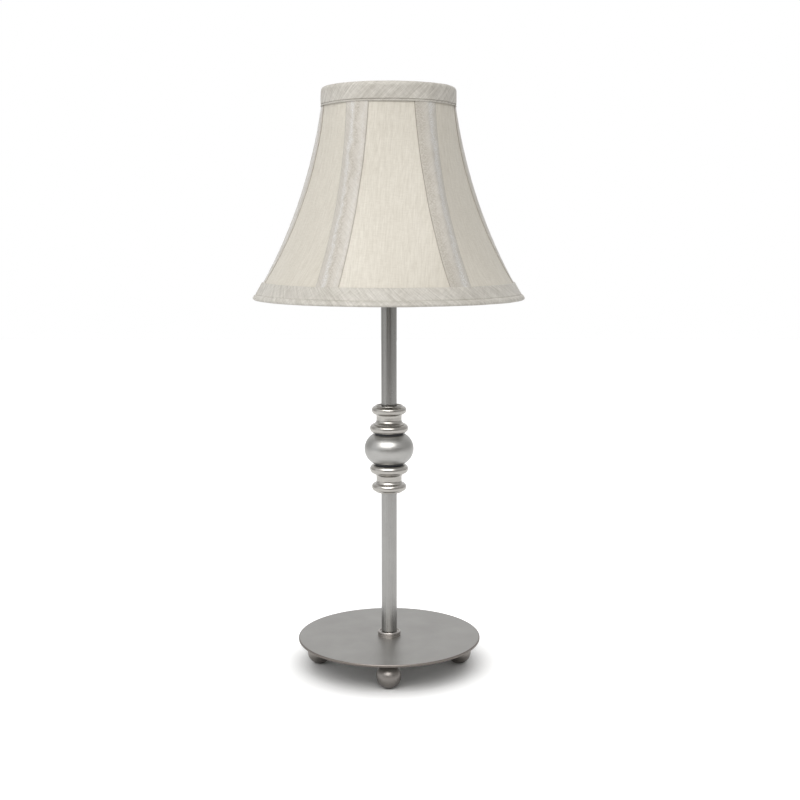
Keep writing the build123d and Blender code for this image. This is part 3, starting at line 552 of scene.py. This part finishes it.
def silk(name, deep, pale, turn, slubs, sheen, evenness, painted_sheen_and_shade=()):
    """Slubbed silk-look cloth: long uneven threads one way, fine ones across.

    The lower evenness is, the more its threads stand out. Each painted streak
    listed runs lengthwise: its distance from the cloth's edge and its reach, in
    metres, its colour and how strongly that shows. These streaks are painted sheen,
    painted shade and painted shadow in the cloth's colour. One wider than a fine line sways and is
    speckled.
    """
    finish, tree, shader = new_finish(name)
    place = tree.nodes.new("ShaderNodeUVMap")
    place.uv_map = "cloth"

    def threads(stretch, detail, wander=0.0):
        """Noise along one set of the cloth's threads."""
        laid = tree.nodes.new("ShaderNodeMapping")
        laid.inputs["Rotation"].default_value = (0, 0, radians(turn))
        stretched = tree.nodes.new("ShaderNodeMapping")
        stretched.inputs["Scale"].default_value = (*stretch, 1)
        cloud = tree.nodes.new("ShaderNodeTexNoise")
        cloud.inputs["Scale"].default_value = 1.0
        cloud.inputs["Detail"].default_value = detail
        cloud.inputs["Distortion"].default_value = wander
        tree.links.new(place.outputs["UV"], laid.inputs["Vector"])
        tree.links.new(laid.outputs["Vector"], stretched.inputs["Vector"])
        tree.links.new(stretched.outputs["Vector"], cloud.inputs["Vector"])
        return cloud.outputs["Fac"]

    def mixed(first, second, share):
        """Two noises together."""
        blend = tree.nodes.new("ShaderNodeMix")
        blend.inputs["Factor"].default_value = share
        tree.links.new(first, blend.inputs["A"])
        tree.links.new(second, blend.inputs["B"])
        return blend.outputs["Result"]

    long_slubs = threads((slubs, slubs * 0.09), 4, 0.8)
    short_slubs = threads((slubs * 0.2, slubs * 1.0), 3, 0.6)
    clouds = threads((24, 16), 3)
    warp = threads((2600, 150), 2)
    weft = threads((190, 2900), 2)
    weave = mixed(warp, weft, 0.5)
    tone = mixed(mixed(long_slubs, short_slubs, 0.3), clouds, 0.22)
    colour = tones(tree, mixed(tone, weave, 0.3), deep, pale, 0.5 - evenness, 0.5 + evenness)
    speckle = spread(tree, threads((1000, 750), 4), -0.35, 1.5)
    sway = spread(tree, threads((70, 110), 3), -0.0016, 0.0016)
    # Each painted streak of sheen, shade or edge shadow is mixed into the colour
    for middle, reach, tint, strength in painted_sheen_and_shade:
        across = tree.nodes.new("ShaderNodeSeparateXYZ")
        swayed = tree.nodes.new("ShaderNodeMath")
        aside = tree.nodes.new("ShaderNodeMath")
        aside.operation = "SUBTRACT"
        aside.inputs[1].default_value = middle
        off = tree.nodes.new("ShaderNodeMath")
        off.operation = "ABSOLUTE"
        painted_streak_falloff = tree.nodes.new("ShaderNodeMapRange")
        painted_streak_falloff.interpolation_type = "SMOOTHSTEP"
        painted_streak_falloff.inputs["From Min"].default_value = reach
        painted_streak_falloff.inputs["From Max"].default_value = 0
        painted_streak_falloff.inputs["To Max"].default_value = strength
        painted_streak_share = tree.nodes.new("ShaderNodeMath")
        painted_streak_share.operation = "MULTIPLY"
        painted_streak_share.use_clamp = True
        tinted = tree.nodes.new("ShaderNodeMix")
        tinted.data_type = "RGBA"
        tinted.inputs["B"].default_value = (*tint, 1)
        tree.links.new(place.outputs["UV"], across.inputs[0])
        tree.links.new(across.outputs["X"], swayed.inputs[0])
        if reach > fine_line:
            tree.links.new(sway, swayed.inputs[1])
            tree.links.new(speckle, painted_streak_share.inputs[1])
        else:
            swayed.inputs[1].default_value = 0
            painted_streak_share.inputs[1].default_value = 1
        tree.links.new(swayed.outputs[0], aside.inputs[0])
        tree.links.new(aside.outputs[0], off.inputs[0])
        tree.links.new(off.outputs[0], painted_streak_falloff.inputs["Value"])
        tree.links.new(painted_streak_falloff.outputs[0], painted_streak_share.inputs[0])
        tree.links.new(painted_streak_share.outputs[0], tinted.inputs["Factor"])
        tree.links.new(colour, tinted.inputs["A"])
        colour = tinted.outputs["Result"]
    tree.links.new(colour, shader.inputs["Base Color"])
    tree.links.new(spread(tree, tone, 0.62, 0.46), shader.inputs["Roughness"])
    shader.inputs["Specular IOR Level"].default_value = 0.35
    shader.inputs["Sheen Weight"].default_value = sheen
    shader.inputs["Sheen Roughness"].default_value = 0.4
    raise_grain(tree, shader, mixed(weave, long_slubs, 0.45), 0.6, 0.00012)
    return finish


panel_silk = silk("silk_panel", (0.585, 0.545, 0.47), (0.75, 0.715, 0.64), 6, 900, 0.08, 0.14)
backing_white = moulded("white_backing", (0.74, 0.73, 0.69), (0.80, 0.79, 0.76), 0.7, 1600)

panel_rows = 61
panel_columns = 45
for number in range(panel_count):
    middle_angle = radians(first_rib + rib_step * (number + 0.5))
    rows = []
    reach = []
    for row in range(panel_rows):
        height = wire_low + (wire_high - wire_low) * row / (panel_rows - 1)
        centre, radius, swing = panel_arc(height)
        points = []
        for column in range(panel_columns):
            share = 2 * column / (panel_columns - 1) - 1
            give = noise.noise(Vector((number * 7.3 + share * 1.6, height * 30, 0.5)))
            hold = (1 - share**2) * min(
                1, (wire_high - height) / edge_hold, (height - wire_low) / edge_hold
            )
            out = radius + cloth_give * give * hold
            ahead = centre + out * cos(share * swing)
            aside = out * sin(share * swing)
            points.append((
                ahead * cos(middle_angle) - aside * sin(middle_angle),
                ahead * sin(middle_angle) + aside * cos(middle_angle),
                height,
            ))
        rows.append(points)
        reach.append(radius * swing)

    def panel_place(row, column, reach=reach):
        """Where a point lies on the uncut cloth, in metres."""
        return (
            reach[row] * (2 * column / (panel_columns - 1) - 1),
            (wire_high - wire_low) * bell_stretch * row / (panel_rows - 1),
        )

    panel = cloth_mesh(
        f"silk_panel_{number + 1}", rows, panel_place, [panel_silk, backing_white], cloth_thickness
    )
    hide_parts(f"shade_panel_{number + 1}")
    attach(panel, "shade")

# -------------------------------------------------------------------- seam strips
# A bias-cut strip of the same cloth, its edges turned under, is glued over each
# rib to hide the seam. It bends over the rib. Its colour carries painted sheen as
# silvery streaks, painted shade as brown streaks and painted shadow along its
# edges, broad streaks on one strip and narrow ones on the next.
strip_width = 19.6 * mm
strip_low = 0.3120
strip_high = 0.4548
strip_rows = 75
strip_columns = 37
strip_stand = 0.46 * mm
folded_edge = 0.12 * mm
glued_edge = 0.3 * mm
pucker_depth = 0.05 * mm
pucker_pitch = 0.0085
softenings = 6
bend_columns = 5
# Colours of the painted sheen, the painted shade and the painted shadow at the strip's edges
painted_sheen_streak = (0.74, 0.735, 0.73)
painted_shade_streak = (0.41, 0.375, 0.32)
edge_shadow = (0.27, 0.228, 0.185)
broad_strip_silk = silk(
    "silk_strip_broad_painted_sheen", (0.47, 0.44, 0.395), (0.63, 0.605, 0.555), 42, 1000, 0.1, 0.13,
    painted_sheen_and_shade=[
        (0.0035, 0.0065, painted_shade_streak, 0.8), (0.0135, 0.0046, painted_sheen_streak, 0.85),
        (0.0, 0.0010, edge_shadow, 0.9), (0.0196, 0.0007, edge_shadow, 0.45),
    ],
)
narrow_strip_silk = silk(
    "silk_strip_narrow_painted_sheen", (0.49, 0.457, 0.41), (0.65, 0.62, 0.57), 42, 1000, 0.1, 0.13,
    painted_sheen_and_shade=[
        (0.0030, 0.0020, painted_sheen_streak, 0.3), (0.0086, 0.0026, painted_shade_streak, 0.7),
        (0.0125, 0.0030, painted_sheen_streak, 0.75), (0.0196, 0.0007, edge_shadow, 0.5),
        (0.0, 0.0006, edge_shadow, 0.25),
    ],
)


def beside_rib(height, along, stand):
    """A point on a panel, so far along it from the rib and so far above it."""
    centre, radius, swing = panel_arc(height)
    turn = swing - abs(along) / radius
    ahead = centre + (radius + stand) * cos(turn)
    aside = (radius + stand) * sin(turn)
    away = ahead * cos(half_step) + aside * sin(half_step)
    off = ahead * sin(half_step) - aside * cos(half_step)
    return Vector((away, off if along >= 0 else -off))


for number in range(panel_count):
    rib_angle = radians(first_rib + rib_step * number)
    rows = []
    for row in range(strip_rows):
        height = strip_low + (strip_high - strip_low) * row / (strip_rows - 1)
        section = []
        for column in range(strip_columns):
            share = 2 * column / (strip_columns - 1) - 1
            unevenness = noise.noise(Vector((share * 2, height * 55, number)))
            edge = strip_width / 2 * (1 + 0.018 * unevenness)
            along = share * edge
            fold = exp(-((abs(share) - 0.84) / 0.1) ** 2)
            pucker = pucker_depth * sin(2 * pi * (height + along * 0.9) / pucker_pitch + number)
            stand = strip_stand + folded_edge * fold + pucker * (1 - share**2)
            if abs(share) > 0.985:
                stand = glued_edge
            section.append(beside_rib(height, along, stand))
        half = strip_columns // 2
        for _ in range(softenings):
            softened = list(section)
            for column in range(half - bend_columns, half + bend_columns + 1):
                softened[column] = (
                    section[column - 1] + 2 * section[column] + section[column + 1]
                ) / 4
            section = softened
        rows.append([
            (
                point.x * cos(rib_angle) - point.y * sin(rib_angle),
                point.x * sin(rib_angle) + point.y * cos(rib_angle),
                height,
            )
            for point in section
        ])

    def strip_place(row, column):
        """Where a point lies on the strip before it was glued, in metres."""
        across = column if number % 2 == 0 else strip_columns - 1 - column
        return (
            strip_width * across / (strip_columns - 1),
            (strip_high - strip_low) * bell_stretch * row / (strip_rows - 1),
        )

    strip_silk = broad_strip_silk if number % 2 == 0 else narrow_strip_silk
    strip = cloth_mesh(f"silk_strip_{number + 1}", rows, strip_place, [strip_silk], 0.0003)
    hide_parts(f"seam_strip_{number + 1}")
    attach(strip, "shade")

# ------------------------------------------------------------ top and bottom bands
# Bias-cut binding, folded over each ring wire and glued. Its edge is turned
# under twice, so a narrow second fold shows below the main one.
around = 360
seam_angle = 123
hem_reach = 0.004
strip_bump = 0.2 * mm
strip_reach = 10 * mm
join_bump = 0.3 * mm
join_lap = 9 * mm
ripple_depth = 0.12 * mm


def soft_line(points, steps=5):
    """A smooth run through the points of a section."""
    line = []
    last = len(points) - 1
    for index in range(last):
        before = Vector(points[max(index - 1, 0)])
        start = Vector(points[index])
        end = Vector(points[index + 1])
        after = Vector(points[min(index + 2, last)])
        for step in range(steps):
            t = step / steps
            line.append(
                0.5 * (
                    2 * start + (end - before) * t
                    + (2 * before - 5 * start + 4 * end - after) * t**2
                    + (3 * start - before - 3 * end + after) * t**3
                )
            )
    return line + [Vector(points[-1])]


def panel_drop(height, from_rib):
    """How far the panels lie inside the ribs' circle at an angle from a rib."""
    centre, panel_r, _ = panel_arc(height)
    off = half_step - abs(from_rib)
    return bell_r(height) - centre * cos(off) - sqrt(panel_r**2 - (centre * sin(off)) ** 2)


def bind(name, node, section, hug, seed):
    """Sweep a band's section round the shade, with its ripples and its join.

    hug is how far it follows the flat of the panels, 1 being all the way.
    """
    line = soft_line([(radius * mm, height * mm) for radius, height in section])
    runs = [0.0]
    for index in range(1, len(line)):
        runs.append(runs[-1] + (line[index] - line[index - 1]).length)
    mean_r = sum(point.x for point in line) / len(line)
    outer = max(point.x for point in line)
    rows = []
    for point in line:
        ring = []
        for step in range(around):
            angle = 360 * step / around
            level = (cos(radians(angle)), sin(radians(angle)))
            outside = max(0.0, 1 - (outer - point.x) / hem_reach)
            from_rib = (angle - first_rib + rib_step / 2) % rib_step - rib_step / 2
            over_strip = strip_bump * exp(-((from_rib * radians(1) * point.x / strip_reach) ** 4))
            past_join = (angle - seam_angle) % 360 * radians(1) * point.x
            join = join_bump * max(0.0, 1 - past_join / join_lap)
            ripple = noise.noise(Vector((8 * level[0], 8 * level[1], seed + point.y * 90)))
            wave = noise.noise(Vector((5 * level[0], 5 * level[1], seed + 9)))
            radius = point.x + outside * (over_strip + join + ripple_depth * ripple)
            radius -= hug * panel_drop(point.y, radians(from_rib))
            ring.append((radius * level[0], radius * level[1], point.y + ripple_depth * wave))
        rows.append(ring)

    def band_place(row, column):
        """Where a point lies on the binding before it was folded, in metres."""
        return (2 * pi * mean_r * column / around, runs[row])

    band = cloth_mesh(name, rows, band_place, [binding_silk], 0.0004, closed=True)
    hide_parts(node)
    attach(band, "shade")


binding_silk = silk("silk_binding", (0.43, 0.405, 0.36), (0.71, 0.685, 0.635), 45, 620, 0.08, 0.12)


def beyond(height, stand):
    """A band's section point, so far outside the shade's line at a height in mm."""
    return (bell_r(height * mm) / mm + stand, height)


top_section = [
    beyond(453.9, 0.15), beyond(453.75, 0.5), (53.25, 454.2), (53.25, 454.75),
    (52.6, 455.0), (52.6, 455.3), (53.2, 455.5), (53.3, 456.2),
    (53.25, 460.0), (53.15, 463.5), (53.0, 465.6), (52.6, 466.9), (51.9, 467.8),
    (50.9, 468.25), (49.6, 468.3), (48.2, 467.9), (47.1, 467.0), (46.6, 465.6), (46.5, 463.8),
]
bottom_section = [
    beyond(316.0, 0.45), beyond(315.9, 0.85), beyond(315.3, 1.0), beyond(313.0, 1.0),
    beyond(310.6, 1.0), beyond(308.6, 0.95), beyond(307.6, 0.8), beyond(307.45, 0.15),
    beyond(307.15, 0.1), beyond(306.9, 0.55), (107.2, 305.8), (107.9, 304.7),
    (108.0, 303.9), (107.3, 303.45), (105.8, 303.4), (104.0, 303.6), (102.8, 304.1),
    (102.0, 305.1), (101.4, 306.3), (100.9, 307.2),
]
bind("silk_top_band", "top_band", top_section, 0.6, 1.0)
bind("silk_bottom_band", "bottom_band", bottom_section, 1.0, 4.0)
